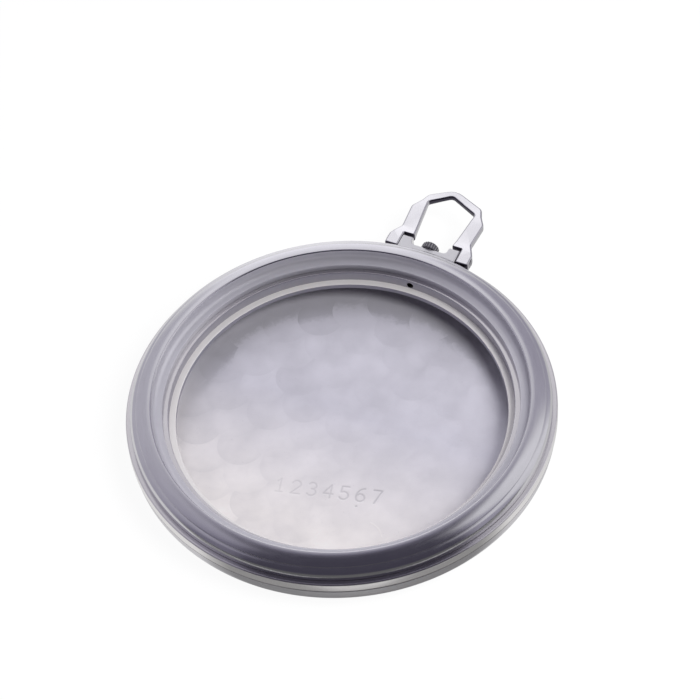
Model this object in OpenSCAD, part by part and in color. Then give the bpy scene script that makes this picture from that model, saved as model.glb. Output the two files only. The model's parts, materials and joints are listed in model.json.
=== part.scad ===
// Thin open-face pocket watch case, stripped of its movement, crystal and crown.
// Three turned shells stack on each other: the snap back, the middle and the snap bezel.
// A soldered bridge on the middle carries the pendant tube and a bow that turns on two screws.
// Millimetres, +Z up through the front opening, pendant towards +Y.
// The origin is the centre of the flat that the back lies on.

/* [Case] */
// Widest diameter of the case, across the band of the middle
case_d = 48.3; // [48:0.1:54]
// Height of the closed seam between two shells
seam = 0.05; // [0.02:0.01:0.1]
// Radial running clearance of the two snap joints
snap_gap = 0.03; // [0.02:0.01:0.08]
// Height of the snap beads above their necks
bead_h = 0.08; // [0.04:0.01:0.15]

/* [Back] */
// Height of the back, from its flat to its rim
back_h = 3.62; // [3.4:0.02:5]
// Thickness of the back
back_t = 0.9; // [0.6:0.05:1]
// How far the back's rim stands inside the band, at the radius
back_inset = 0.15; // [0.05:0.01:0.4]
// Radius of the back's shoulder
back_shoulder = 1.5; // [1:0.1:1.8]
// How far the shoulder turns under before the shallow curve takes over, in degrees
shoulder_turn = 50; // [40:1:60]
// Wall of the back's rim, outside the snap joint
back_rim = 1.45; // [1.2:0.05:1.8]

/* [Middle] */
// Height of the middle's band
band_h = 1.33; // [1.2:0.01:2]
// Radius of the band's upper edge
band_round = 0.15; // [0.08:0.01:0.3]
// Flat shelf of the band outside the bezel
band_shelf = 0.42; // [0.3:0.01:0.6]
// Wall of the middle between the movement's pocket and the band's face
case_wall = 4.75; // [4.6:0.05:6]
// Depth of the movement pocket, from the band's top to its ledge
pocket_depth = 1.2; // [0.9:0.05:1.3]
// Width of the ledge that the movement's rim lies on
ledge_w = 0.75; // [0.4:0.05:1]
// Thickness of the ledge
ledge_t = 0.6; // [0.4:0.05:0.8]
// Wall of the neck that the bezel snaps over
upper_neck_t = 0.6; // [0.4:0.05:0.65]
// Height of the neck that the bezel snaps over
upper_neck_h = 0.8; // [0.6:0.05:0.9]
// Wall of the neck that the back snaps over
lower_neck_t = 0.8; // [0.5:0.05:1]
// Height of the neck that the back snaps over
lower_neck_h = 1.15; // [0.9:0.05:1.2]

/* [Bezel] */
// Height of the bezel
bezel_h = 1.95; // [1.8:0.05:2.6]
// Width of the lip between the crystal's wall and the crest
lip_w = 0.2; // [0.18:0.01:0.4]
// Width of the foot's ledge that the crystal stands over
crystal_ledge_w = 1.1; // [0.9:0.05:1.3]
// Radius of the cove at the foot of the crystal's wall
cove_r = 0.65; // [0.3:0.05:0.7]
// Thickness of the bezel's inner foot
foot_t = 0.65; // [0.5:0.05:0.7]
// Wall of the bezel outside its neck groove
bezel_skirt = 1.58; // [1.5:0.02:1.7]
// Radius of the lip's inner edge
lip_round = 0.15; // [0.08:0.01:0.18]
// How far the rounded lower step runs in, at the radius
lower_run = 0.73; // [0.6:0.01:0.8]
// How far the lower step turns from upright towards level, in degrees
lower_turn = 80; // [70:1:85]
// How far the rounded upper slope runs in, at the radius
upper_run = 1.55; // [1.45:0.01:1.65]
// How far the rounded upper slope drops
upper_drop = 0.5; // [0.4:0.02:0.6]
// Height of the upright wall at the crease between the two
crease = 0.15; // [0.08:0.01:0.2]

/* [Pendant bridge] */
// Width of the bridge over its two ears
bridge_w = 7.2; // [6.6:0.1:8]
// Thickness of the bridge
bridge_t = 1.4; // [1.2:0.05:1.5]
// Width of each ear
ear_w = 1.35; // [1.2:0.05:1.6]
// How far the web stands out past the band
web_out = 0.65; // [0.4:0.05:1]
// How far the bow's pivot lies outside the band
pivot_out = 0.85; // [0.8:0.01:1.1]
// Radius of the ears' ends about the pivot
ear_r = 1; // [0.9:0.05:1.1]
// Radius of the fillet between the web and an ear
web_fillet = 0.5; // [0.2:0.05:0.6]

/* [Pendant tube] */
// Diameter of the tube's collar
collar_d = 2.1; // [1.8:0.1:2.4]
// Length of the tube's collar, outside the web
collar_l = 0.85; // [0.6:0.05:1]
// Diameter of the tube's spigot in the bridge
spigot_d = 1.08; // [1:0.02:1.2]
// How far the tube's spigot reaches into the band
spigot_in = 0.9; // [0.4:0.05:1.2]
// Diameter of the hole for the winding stem
stem_d = 0.8; // [0.7:0.02:0.9]
// Running clearance of a soldered or screwed part in its hole
solder_gap = 0.01; // [0.005:0.005:0.02]

/* [Bow] */
// Width of the bow over its two feet
bow_w = 10.5; // [10:0.1:11.2]
// How far the bow's crown stands out from the pivot
bow_l = 9.75; // [9:0.05:11]
// Thickness of the arms
arm_t = 0.9; // [0.7:0.05:1.1]
// Thickness of the feet
bow_foot_t = 1.3; // [1.2:0.02:1.4]
// Thickness of the roof bars
roof_t = 0.64; // [0.5:0.02:0.7]
// Width of the roof bars
roof_w = 1.1; // [0.9:0.05:1.2]
// How far the arms' necks stand in from the feet's outer faces
neck_in = 0.85; // [0.75:0.05:1.1]
// Height of the necks above the pivot
neck_h = 2.3; // [2.1:0.05:2.5]
// How far the arms' widest points stand in from the feet's outer faces
arm_in = 0.65; // [0.4:0.05:0.9]
// Height of the arms' widest points above the pivot
arm_h = 5.6; // [5:0.1:6]
// How far the shoulders stand in from the feet's outer faces
shoulder_in = 1.4; // [1.2:0.05:1.6]
// Drop of the shoulders below the crown
shoulder_drop = 2.9; // [2.6:0.05:3.1]
// How far the eaves stand in from the feet's outer faces
eave_in = 1.85; // [1.7:0.05:2.1]
// Drop of the eaves below the crown
eave_drop = 1.75; // [1.5:0.05:1.95]
// Radius of the crown
crown_round = 2; // [1:0.1:2.2]
// How far the worn crown leans to the left of the middle
crown_lean = 0.6; // [0:0.05:0.8]
// How far the arms' inner sides stand out from the ears' inner sides, at the lap
inner_lap = 0.1; // [0:0.05:0.2]
// How far the arms' inner sides stand out at mid height
inner_mid = 0.45; // [0.3:0.05:0.55]
// Height above the pivot of the bend in the arms' inner sides
inner_mid_h = 4.4; // [3.5:0.1:5]
// How far the opening's upper corners stand out from the ears' inner sides
inner_top = 0.7; // [0.55:0.05:0.8]
// Drop of the opening's upper corners below the crown
inner_top_drop = 2.85; // [2.6:0.05:3.1]
// Height above the pivot at which the feet start to thin
foot_flat = 1.1; // [0.9:0.05:1.3]
// Height above the pivot at which the feet are as thin as the arms
foot_top = 2.3; // [2:0.05:2.6]
// Radius of the feet's lower corners about the pivot
bow_foot_r = 1.08; // [1:0.02:1.1]
// How far the feet's flat lower ends lie below the pivot
foot_end = 0.95; // [0.8:0.05:1]
// Side play between a foot and its ear
side_gap = 0.08; // [0.05:0.01:0.15]
// Gap between an arm's end and the round end of its ear
lap_gap = 0.22; // [0.06:0.01:0.3]

/* [Bow screws] */
// Diameter of the shoulder that a foot turns on
shoulder_d = 0.8; // [0.7:0.02:0.86]
// Running clearance of a foot on its screw, at the radius
turn_gap = 0.03; // [0.02:0.01:0.06]
// Diameter of the thread in the ear
thread_d = 0.6; // [0.5:0.02:0.7]
// Diameter of the screw head
head_d = 1.04; // [0.96:0.02:1.1]
// Height of the screw head
head_h = 0.26; // [0.2:0.01:0.35]
// How far the screw head stands out of its foot
head_proud = 0.05; // [0.02:0.01:0.1]
// Width of the screw slot
slot_w = 0.18; // [0.14:0.01:0.25]
// Depth of the screw slot
slot_depth = 0.12; // [0.08:0.01:0.15]

/* [Hidden] */
turned_fn = 180;
small_fn = 48;
arc_steps = 8;
edge = 0.06;
bend_r = 0.5;
inner_r = 0.3;
over = 1;

// Heights of the stack, from the table up
middle_z0 = back_h + seam;
middle_z1 = middle_z0 + band_h;
bezel_z0 = middle_z1 + seam;
top_z = bezel_z0 + bezel_h;
ledge_z = middle_z1 - pocket_depth;

// Radii of the turned shells, from the outside in
band_r = case_d / 2;
back_r = band_r - back_inset;
back_bore_r = back_r - back_rim;
lower_bead_r = back_bore_r - snap_gap;
bezel_r = band_r - band_round - band_shelf;
bezel_bore_r = bezel_r - bezel_skirt;
upper_bead_r = bezel_bore_r - snap_gap;
pocket_r = band_r - case_wall;

// Height of the snap beads
lower_bead_z = middle_z0 - lower_neck_h / 2;
upper_bead_z = middle_z1 + upper_neck_h / 2;
bead_w = 2 * bead_h;

// The back's outline: a shoulder arc that runs into a shallow arc and then the flat
shoulder_c = [back_r - back_shoulder, back_h - back_shoulder / 2];
shoulder_end = shoulder_c + back_shoulder * [cos(shoulder_turn), -sin(shoulder_turn)];
dome_r = shoulder_end[1] / (1 - sin(shoulder_turn));
dome_c = [shoulder_end[0] - dome_r * cos(shoulder_turn), dome_r];
dome_in_r = dome_r - back_t;
bore_foot_z = dome_c[1] - sqrt(pow(dome_in_r, 2) - pow(back_bore_r - dome_c[0], 2));

// The bezel's outline
crease_r = bezel_r - lower_run;
crease_z = top_z - upper_drop;
crest_r = crease_r - upper_run;
crystal_r = crest_r - lip_w;
aperture_r = crystal_r - crystal_ledge_w;
crest_turn = 2 * atan(upper_drop / upper_run);
crest_arc = upper_run / sin(crest_turn);
lower_round = lower_run / (1 - cos(lower_turn));
lower_z = crease_z - crease - lower_round * sin(lower_turn);
groove_in_r = bezel_bore_r - snap_gap - upper_neck_t - snap_gap;
groove_top_z = middle_z1 + upper_neck_h + seam;

// The bow's pivot, on the middle of the bridge's thickness
pivot_y = band_r + pivot_out;
pivot_z = middle_z1 - bridge_t / 2;
web_y = band_r + web_out;
spigot_y = band_r - spigot_in;
ear_x = bridge_w / 2;
ear_in_x = ear_x - ear_w;
foot_x = ear_x + side_gap;
foot_out_x = bow_w / 2;
head_x = foot_out_x + head_proud - head_h;
lap_y = pivot_y + ear_r + lap_gap;

function arc(c, r, a0, a1, n = arc_steps) =
    [for (i = [0 : n]) c + r * [cos(a0 + (a1 - a0) * i / n), sin(a0 + (a1 - a0) * i / n)]];

function unit(v) = v / norm(v);

// Arc that rounds the corner b between its neighbours a and c
function corner(a, b, c, r) =
    let (u = unit(a - b), w = unit(c - b), half = acos(u * w) / 2,
         reach = r / tan(half), centre = b + unit(u + w) * r / sin(half),
         p = b + u * reach - centre, q = b + w * reach - centre,
         a0 = atan2(p[1], p[0]), turn = atan2(p[0] * q[1] - p[1] * q[0], p * q))
    arc(centre, r, a0, a0 + turn, 5);

// Closed outline through points [x, y, corner radius]
function rounded(points) =
    let (n = len(points))
    [for (i = [0 : n - 1])
        let (a = points[(i + n - 1) % n], b = points[i], c = points[(i + 1) % n])
        each b[2] > 0 ? corner([a[0], a[1]], [b[0], b[1]], [c[0], c[1]], b[2])
                      : [[b[0], b[1]]]];

function mirrored(points) =
    [for (i = [len(points) - 1 : -1 : 0]) [-points[i][0], points[i][1], points[i][2]]];

module turned(points) {
    rotate_extrude($fn = turned_fn) polygon(points);
}

module cross_rod(x0, x1, d) {
    translate([x0, pivot_y, pivot_z]) rotate([0, 90, 0])
        cylinder(d = d, h = x1 - x0, $fn = small_fn);
}

module stem_rod(y0, y1, d) {
    translate([0, y0, pivot_z]) rotate([-90, 0, 0])
        cylinder(d = d, h = y1 - y0, $fn = small_fn);
}

// Draws its child on the right, or mirrored on the left for a side of -1
module on_side(side) {
    mirror([side < 0 ? 1 : 0, 0, 0]) children();
}

// Solid of the band alone, which the bridge is fitted to
module band_form(reach) {
    turned(concat(
        [[band_r - reach, middle_z0 - over], [band_r, middle_z0 - over]],
        arc([band_r - band_round, middle_z1 - band_round], band_round, 0, 90),
        [[band_r - band_round, middle_z1 + over], [band_r - reach, middle_z1 + over]]));
}

module case_back() {
    color([0.70, 0.69, 0.73])
        turned(concat(
            [[0, 0]],
            arc(dome_c, dome_r, -90, -shoulder_turn),
            arc(shoulder_c, back_shoulder, -shoulder_turn, 0),
            [[back_r, back_h - edge], [back_r - edge, back_h],
             [back_bore_r + edge, back_h], [back_bore_r, back_h - edge],
             [back_bore_r, lower_bead_z + bead_w], [back_bore_r + bead_h, lower_bead_z],
             [back_bore_r, lower_bead_z - bead_w], [back_bore_r, bore_foot_z]],
            arc(dome_c, dome_in_r, -acos((back_bore_r - dome_c[0]) / dome_in_r), -90),
            [[0, back_t]]));
}

module case_middle() {
    color([0.78, 0.77, 0.80]) difference() {
        turned(concat(
            [[pocket_r, ledge_z], [pocket_r, middle_z1 - edge], [pocket_r + edge, middle_z1],
             [upper_bead_r - upper_neck_t, middle_z1],
             [upper_bead_r - upper_neck_t, middle_z1 + upper_neck_h],
             [upper_bead_r - bead_h, middle_z1 + upper_neck_h],
             [upper_bead_r, upper_bead_z],
             [upper_bead_r - bead_h, upper_bead_z - bead_w],
             [upper_bead_r - bead_h, middle_z1]],
            arc([band_r - band_round, middle_z1 - band_round], band_round, 90, 0),
            [[band_r, middle_z0 + edge], [band_r - edge, middle_z0],
             [lower_bead_r - bead_h, middle_z0],
             [lower_bead_r - bead_h, lower_bead_z + bead_w],
             [lower_bead_r, lower_bead_z],
             [lower_bead_r - bead_h, middle_z0 - lower_neck_h],
             [lower_bead_r - lower_neck_t, middle_z0 - lower_neck_h],
             [lower_bead_r - lower_neck_t, ledge_z - ledge_t],
             [pocket_r - ledge_w, ledge_z - ledge_t],
             [pocket_r - ledge_w, ledge_z - edge], [pocket_r - ledge_w + edge, ledge_z]]));
        stem_rod(pocket_r - over, band_r, stem_d);
        stem_rod(spigot_y - solder_gap, band_r + over, spigot_d + 2 * solder_gap);
    }
}

module bezel() {
    foot_z = bezel_z0 + foot_t;
    color([0.66, 0.65, 0.71]) turned(concat(
        [[aperture_r, bezel_z0], [aperture_r, foot_z - edge], [aperture_r + edge, foot_z]],
        arc([crystal_r - cove_r, foot_z + cove_r], cove_r, -90, 0),
        arc([crystal_r + lip_round, top_z - lip_round], lip_round, 180, 90, 4),
        arc([crest_r, top_z - crest_arc], crest_arc, 90, 90 - crest_turn),
        arc([bezel_r - lower_round, lower_z], lower_round, lower_turn, 0),
        [[bezel_r, bezel_z0 + edge], [bezel_r - edge, bezel_z0], [bezel_bore_r, bezel_z0],
         [bezel_bore_r, upper_bead_z - bead_w], [bezel_bore_r + bead_h, upper_bead_z],
         [bezel_bore_r, upper_bead_z + bead_w], [bezel_bore_r, groove_top_z],
         [groove_in_r, groove_top_z], [groove_in_r, bezel_z0]]));
}

// Side outline of an ear, in Y and Z, with its round end about the pivot
module ear_side() {
    intersection() {
        union() {
            translate([band_r - 2 * over, -bridge_t / 2])
                square([pivot_y - band_r + 2 * over, bridge_t]);
            translate([pivot_y, 0]) circle(r = ear_r, $fn = small_fn);
        }
        translate([band_r - 3 * over, -bridge_t / 2]) square([6 * over, bridge_t]);
    }
}

// Extrudes a Y and Z outline along X, centred on the pivot's height
module along_x(x0, x1) {
    translate([x0, 0, pivot_z]) rotate([90, 0, 90]) linear_extrude(x1 - x0) children();
}

module ear(side) {
    on_side(side) along_x(ear_in_x, ear_x) ear_side();
}

module web() {
    translate([0, 0, pivot_z - bridge_t / 2]) linear_extrude(bridge_t) difference() {
        translate([-ear_in_x - over / 2, band_r - 2 * over])
            square([2 * ear_in_x + over, web_y + web_fillet - band_r + 2 * over]);
        translate([-ear_in_x + web_fillet, web_y])
            square([2 * (ear_in_x - web_fillet), web_fillet + over]);
        for (side = [-1, 1])
            translate([side * (ear_in_x - web_fillet), web_y + web_fillet])
                circle(r = web_fillet, $fn = small_fn);
    }
}

module pendant_bridge() {
    color([0.80, 0.80, 0.82]) difference() {
        union() {
            ear(-1);
            ear(1);
            web();
        }
        band_form(4 * over);
        cross_rod(-ear_x - over, -ear_in_x + over, thread_d + 2 * solder_gap);
        cross_rod(ear_in_x - over, ear_x + over, thread_d + 2 * solder_gap);
        stem_rod(band_r - 3 * over, web_y + over, spigot_d + 2 * solder_gap);
    }
}

module pendant_tube() {
    color([0.45, 0.45, 0.48]) difference() {
        union() {
            stem_rod(spigot_y, web_y + solder_gap, spigot_d);
            stem_rod(web_y + solder_gap, web_y + solder_gap + collar_l, collar_d);
        }
        stem_rod(spigot_y - over, web_y + collar_l + over, stem_d);
    }
}

// Right half of the bow's outer outline, from the lap up to the crown
bow_outer = [
    [foot_x, lap_y, 0], [foot_x + side_gap, lap_y, 0],
    [foot_out_x - neck_in, pivot_y + neck_h, crown_round / 2],
    [foot_out_x - arm_in, pivot_y + arm_h, crown_round / 2],
    [foot_out_x - shoulder_in, pivot_y + bow_l - shoulder_drop, bend_r],
    [foot_out_x - eave_in, pivot_y + bow_l - eave_drop, bend_r]];
crown = [-crown_lean, pivot_y + bow_l, crown_round];

// Right half of the opening, from the lap up to the crown
bow_inner = [
    [ear_in_x + inner_lap, lap_y, 0],
    [ear_in_x + inner_mid, pivot_y + inner_mid_h, crown_round],
    [ear_in_x + inner_top, pivot_y + bow_l - inner_top_drop, inner_r]];
crown_in = [-crown_lean, pivot_y + bow_l - roof_w, inner_r];

module bow() {
    color([0.86, 0.86, 0.88]) difference() {
        union() {
            intersection() {
                translate([0, 0, pivot_z - over]) linear_extrude(2 * over) bow_plan();
                along_x(-foot_out_x - over, foot_out_x + over) bow_side();
            }
            for (side = [-1, 1]) bow_foot(side);
        }
        cross_rod(-foot_out_x - over, foot_out_x + over, shoulder_d + 2 * turn_gap);
        cross_rod(-foot_out_x - over, -head_x + turn_gap, head_d + 2 * turn_gap);
        cross_rod(head_x - turn_gap, foot_out_x + over, head_d + 2 * turn_gap);
    }
}

module bow_plan() {
    difference() {
        polygon(rounded(concat(bow_outer, [crown], mirrored(bow_outer))));
        polygon(rounded(concat(bow_inner, [crown_in], mirrored(bow_inner),
                               [[-ear_in_x - inner_lap, pivot_y, 0],
                                [ear_in_x + inner_lap, pivot_y, 0]])));
    }
}

// Side outline of the bow: thick at the feet, thinner along the arms and thinnest at the roof
module bow_side() {
    shoulder_y = pivot_y + bow_l - shoulder_drop - roof_w;
    half_side = [[pivot_y - over, bow_foot_t / 2], [pivot_y + foot_flat, bow_foot_t / 2],
                 [pivot_y + foot_top, arm_t / 2], [shoulder_y, arm_t / 2],
                 [pivot_y + bow_l - eave_drop, roof_t / 2],
                 [pivot_y + bow_l + over, roof_t / 2]];
    polygon(concat(half_side, [for (i = [len(half_side) - 1 : -1 : 0])
                               [half_side[i][0], -half_side[i][1]]]));
}

module bow_foot(side) {
    on_side(side) intersection() {
        translate([0, 0, pivot_z - over]) linear_extrude(2 * over) polygon(rounded([
            [foot_x, pivot_y - foot_end, 0], [foot_out_x, pivot_y - foot_end, inner_r / 2],
            [foot_out_x, pivot_y + foot_flat / 2, bend_r],
            [foot_out_x - neck_in / 4, pivot_y + foot_flat, bend_r],
            [foot_out_x - neck_in, pivot_y + foot_top, 0],
            [foot_x - inner_r, pivot_y + foot_top, 0],
            [foot_x - inner_r, lap_y, 0], [foot_x, lap_y, 0]]));
        along_x(0, foot_out_x + over) intersection() {
            bow_side();
            foot_end_side();
        }
    }
}

// Side outline of a foot's lower end, with its corners turned about the pivot
module foot_end_side() {
    translate([pivot_y, 0]) circle(r = bow_foot_r, $fn = small_fn);
    translate([pivot_y, -over]) square([foot_top + over, 2 * over]);
}

module bow_screw(side) {
    color([0.62, 0.62, 0.66]) on_side(side) difference() {
        union() {
            cross_rod(ear_in_x + edge, ear_x, thread_d);
            cross_rod(ear_x, head_x, shoulder_d);
            cross_rod(head_x, head_x + head_h, head_d);
        }
        translate([head_x + head_h - slot_depth, pivot_y - slot_w / 2,
                   pivot_z - head_d])
            cube([over, slot_w, 2 * head_d]);
    }
}

module bow_screw_left() {
    bow_screw(-1);
}

module bow_screw_right() {
    bow_screw(1);
}

case_back();
case_middle();
bezel();
pendant_bridge();
pendant_tube();
bow();
bow_screw_left();
bow_screw_right();
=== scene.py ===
import json
import math

import bmesh
import bpy
from mathutils import Matrix, Vector
from mathutils.geometry import delaunay_2d_cdt


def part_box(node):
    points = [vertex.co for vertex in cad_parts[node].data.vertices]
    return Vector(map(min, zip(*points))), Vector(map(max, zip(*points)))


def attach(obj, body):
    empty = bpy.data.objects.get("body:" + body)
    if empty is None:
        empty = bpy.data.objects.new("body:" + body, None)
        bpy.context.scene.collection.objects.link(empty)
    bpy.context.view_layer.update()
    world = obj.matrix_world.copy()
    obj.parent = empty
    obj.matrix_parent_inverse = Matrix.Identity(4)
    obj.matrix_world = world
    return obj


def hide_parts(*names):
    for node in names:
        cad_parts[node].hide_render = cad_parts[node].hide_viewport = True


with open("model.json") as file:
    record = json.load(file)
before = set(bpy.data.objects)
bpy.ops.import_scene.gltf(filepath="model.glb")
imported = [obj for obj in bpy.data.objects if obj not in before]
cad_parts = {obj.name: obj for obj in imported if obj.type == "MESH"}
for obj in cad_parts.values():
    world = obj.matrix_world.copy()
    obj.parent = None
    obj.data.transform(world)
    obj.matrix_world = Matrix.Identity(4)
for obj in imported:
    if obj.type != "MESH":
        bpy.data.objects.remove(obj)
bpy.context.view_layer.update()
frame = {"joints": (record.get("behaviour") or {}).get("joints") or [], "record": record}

MM = 0.001


def mount(name):
    return next(m for m in frame["record"]["mounts"] if m["name"] == name)


def top(node):
    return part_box(node)[1] / MM


def foot(node):
    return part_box(node)[0] / MM


# Driving sizes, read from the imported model
BACK_R = top("case_back").x
BACK_H = top("case_back").z
BAND_R = top("case_middle").x
NECK_TOP = top("case_middle").z
NECK_FOOT = foot("case_middle").z
BEZEL_R = top("bezel").x
BEZEL_Z0 = foot("bezel").z
TOP_Z = top("bezel").z
POCKET_R = mount("movement_pocket")["dims"]["r_mm"]
CRYSTAL_R = mount("crystal_seat")["dims"]["r_mm"]
STEM_R = mount("stem_hole")["dims"]["r_mm"]
HINGE = next(j for j in frame["joints"] if j["name"] == "bow_hinge")
PIVOT_Y = HINGE["pos_m"][1] / MM
PIVOT_Z = HINGE["pos_m"][2] / MM

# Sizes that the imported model's boxes don't give
SEAM = 0.05
BACK_T = 0.9
BACK_RIM = 1.45
BACK_SHOULDER = 1.5
SHOULDER_TURN = 50
BAND_ROUND = 0.15
BAND_TOP = BEZEL_Z0 - SEAM
BAND_FOOT = BACK_H + SEAM
POCKET_DEPTH = 1.2
LEDGE_W = 0.75
LEDGE_T = 0.6
UPPER_NECK_T = 0.6
LOWER_NECK_T = 0.8
SNAP_GAP = 0.03
BEAD_H = 0.08
BEZEL_SKIRT = 1.58
BEZEL_FOOT_T = 0.65
CRYSTAL_LEDGE_W = 1.1
COVE_R = 0.65
LIP_ROUND = 0.18
LOWER_RUN = 0.73
LOWER_TURN = 80
UPPER_RUN = 1.55
UPPER_DROP = 0.5
CREASE = 0.1

# How the lathe turns its outlines
TURNED_STEPS = 384
ARC_STEPS = 16
EDGE_STEPS = 4
EDGE_R = 0.07
SEAM_ROUND = 0.18
SUPPORT = 0.05
# How far the bezel's foot comes down over the seam to the middle, seen from inside
FOOT_LAP = 0.04
# Edges that turn by more degrees than this stay sharp
SHARP_ANGLE = 50
COLLAR_SHARP_ANGLE = 60
# How far a drill starts and ends outside what it cuts
OVER = 1.0
# The least that a mitred corner is divided by
MITRE_LEAST = 0.4
# The most of a plate's half thickness that its rounded edge takes
EDGE_SHARE = 0.9


def cos(degrees):
    return math.cos(math.radians(degrees))


def sin(degrees):
    return math.sin(math.radians(degrees))


def arc(centre, radius, start, end, steps=ARC_STEPS):
    """Points of an arc, each with no rounding of its own."""
    turn = (end - start) / steps
    return [(centre[0] + radius * cos(start + turn * i), centre[1] + radius * sin(start + turn * i), 0)
            for i in range(steps + 1)]


def corner(before, at, after, radius):
    """The arc that rounds the corner at a point."""
    b = Vector(at[:2])
    u = (Vector(before[:2]) - b).normalized()
    w = (Vector(after[:2]) - b).normalized()
    half = u.angle(w) / 2
    centre = b + (u + w).normalized() * radius / math.sin(half)
    p = b + u * radius / math.tan(half) - centre
    q = b + w * radius / math.tan(half) - centre
    start = math.degrees(math.atan2(p.y, p.x))
    turn = math.degrees(math.atan2(p.x * q.y - p.y * q.x, p.dot(q)))
    return arc(centre, radius, start, start + turn, EDGE_STEPS)


def rounded(points, closed=True):
    """Outline through points (x, y, corner radius), with its corners rounded."""
    made = []
    count = len(points)
    for i, point in enumerate(points):
        inside = closed or 0 < i < count - 1
        if point[2] and inside:
            made += corner(points[i - 1], point, points[(i + 1) % count], point[2])
        else:
            made.append(point)
    return [Vector(point[:2]) for point in made]


def supported(outline, closed=True):
    """Adds points near the ends of long straight stretches, so that they shade flat."""
    made = []
    count = len(outline)
    for i, a in enumerate(outline):
        made.append(a)
        if i == count - 1 and not closed:
            break
        b = outline[(i + 1) % count]
        length = (b - a).length
        if length > 4 * SUPPORT:
            made += [a.lerp(b, SUPPORT / length), a.lerp(b, 1 - SUPPORT / length)]
    return made


def finished(mesh, name, body, material):
    """Turns a bmesh in millimetres into a piece that rides on a body."""
    data = bpy.data.meshes.new(name)
    mesh.to_mesh(data)
    mesh.free()
    data.transform(Matrix.Scale(MM, 4))
    data.materials.append(material)
    data.shade_smooth()
    piece = bpy.data.objects.new(name, data)
    bpy.context.scene.collection.objects.link(piece)
    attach(piece, body)
    return piece


def turn_outline(mesh, outline, closed, steps=TURNED_STEPS):
    """Lathes an outline of (radius, height) points about Z into a bmesh."""
    rings = []
    turns = [360 * k / steps for k in range(steps)]
    for point in outline:
        if point.x < SUPPORT / 10:
            rings.append([mesh.verts.new((0, 0, point.y))])
            continue
        rings.append([mesh.verts.new((point.x * cos(turn), point.x * sin(turn), point.y))
                      for turn in turns])
    pairs = list(zip(rings, rings[1:]))
    if closed:
        pairs.append((rings[-1], rings[0]))
    for low, high in pairs:
        for k in range(steps):
            after = (k + 1) % steps
            face = [low[k % len(low)], low[after % len(low)],
                    high[after % len(high)], high[k % len(high)]]
            corners = [v for i, v in enumerate(face) if v not in face[:i]]
            mesh.faces.new(corners)
    return rings


# Digits of the plain number, in a box 1 high, as strokes of points
def bend(x, y, rx, ry, start, end, steps=10):
    turn = (end - start) / steps
    return [(x + rx * cos(start + turn * i), y + ry * sin(start + turn * i)) for i in range(steps + 1)]


DIGITS = [
    [[(0.12, 0.8), (0.32, 1), (0.32, 0)], [(0.1, 0), (0.54, 0)]],
    [bend(0.3, 0.72, 0.28, 0.28, 165, -35) + [(0.02, 0), (0.6, 0)]],
    [bend(0.28, 0.75, 0.25, 0.25, 150, -90), bend(0.28, 0.26, 0.29, 0.26, 90, -150)],
    [[(0.46, 0), (0.46, 1), (0.02, 0.3), (0.62, 0.3)]],
    [[(0.55, 1), (0.1, 1), (0.07, 0.56)] + bend(0.28, 0.3, 0.29, 0.3, 120, -150)],
    [bend(0.55, 0.35, 0.53, 0.65, 95, 170) + bend(0.3, 0.29, 0.28, 0.29, 180, -180)],
    [[(0.04, 1), (0.58, 1), (0.2, 0)]],
]
DIGIT_H = 1.75
DIGIT_PITCH = 1.83
NUMBER_AT = Vector((-3.6, -10.9))
NUMBER_TURN = 13.1
STROKE_R = 0.17
STROKE_DEPTH = 0.035
# The number is worn at the left: the share of the depth left there, and its rise per digit
STROKE_FAINT = 0.35
STROKE_RISE = 0.1
PATCH_STEP = 0.06
PATCH_LOW = Vector((-0.9, -4.4))
PATCH_HIGH = Vector((14.1, 2.7))
DENT = [[(9.42, -0.70), (9.5, -0.68)]]
# The scratch has a raised, bright burr
SCRATCH = [bend(10.6, -4.9, 2.5, 2.4, 15, 70, 8)]
FLOOR_CUT_R = 17.6

# The bridge, its ears and the bow
EAR_X = top("pendant_bridge").x
EAR_IN_X = EAR_X - 1.35
EAR_R = 1.0
EAR_ROUND = 0.35
WEB_OUT = 0.65
WEB_FILLET = 0.5
BRIDGE_T = 1.4
BRIDGE_EDGE = 0.1
FOOT_X = EAR_X + 0.04
FOOT_OUT_X = top("bow").x
FOOT_END = 0.95
LAP_Y = PIVOT_Y + EAR_R + 0.22
BOW_L = 9.75
BOW_FOOT_R = 1.08
BOW_FOOT_T = 1.3
ROOF_W = 1.1
CROWN_LEAN = 0.6
FACES_CASE = -0.4
BOW_EDGE = 0.18
# Faces that rise less than this are the bow's rounded edges and sides, which are painted darker as
# shade
EDGE_TURN = 0.985
BOW_HALVES = [(0, 0.65), (1.1, 0.65), (2.3, 0.45), (5.75, 0.45), (8.0, 0.32), (BOW_L, 0.32)]
THREAD_R = 0.3
SHOULDER_R = 0.4
HEAD_R = 0.52
HEAD_X = top("bow_screw_right").x - 0.26
TURN_GAP = 0.03
# The gap round the tube in the bridge and round the screws' threads
FIT_GAP = 0.01
# How far the screws stay back from the ears' inner faces
SCREW_SHORT = 0.06
SLOT_W = 0.18
SLOT_DEPTH = 0.12
# The least half thickness at the round ends of the bow's feet and of the ears
THIN_FOOT = 0.1
THIN_EAR = 0.03

# The pendant tube: its plain part's radius, its collar's length and the grooves along the collar
SPIGOT_R = 0.54
COLLAR_R = top("pendant_tube").x
COLLAR_L = 0.85
COLLAR_SKIN = 0.13
GROOVES = 20
GROOVE_DEPTH = 0.07
GROOVE_SHAPE = 0.7


def strokes():
    """Every stamped stroke on the floor: its points, half width and depth."""
    made = []
    for i, digit in enumerate(DIGITS):
        for stroke in digit:
            points = [Vector((i * DIGIT_PITCH + x * DIGIT_H, y * DIGIT_H)) for x, y in stroke]
            made.append((points, STROKE_R, STROKE_DEPTH * (STROKE_FAINT + STROKE_RISE * i)))
    made += [([Vector(p) for p in line], STROKE_R, STROKE_DEPTH) for line in DENT]
    made += [([Vector(p) for p in line], STROKE_R / 2, -STROKE_DEPTH / 3) for line in SCRATCH]
    return made


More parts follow.
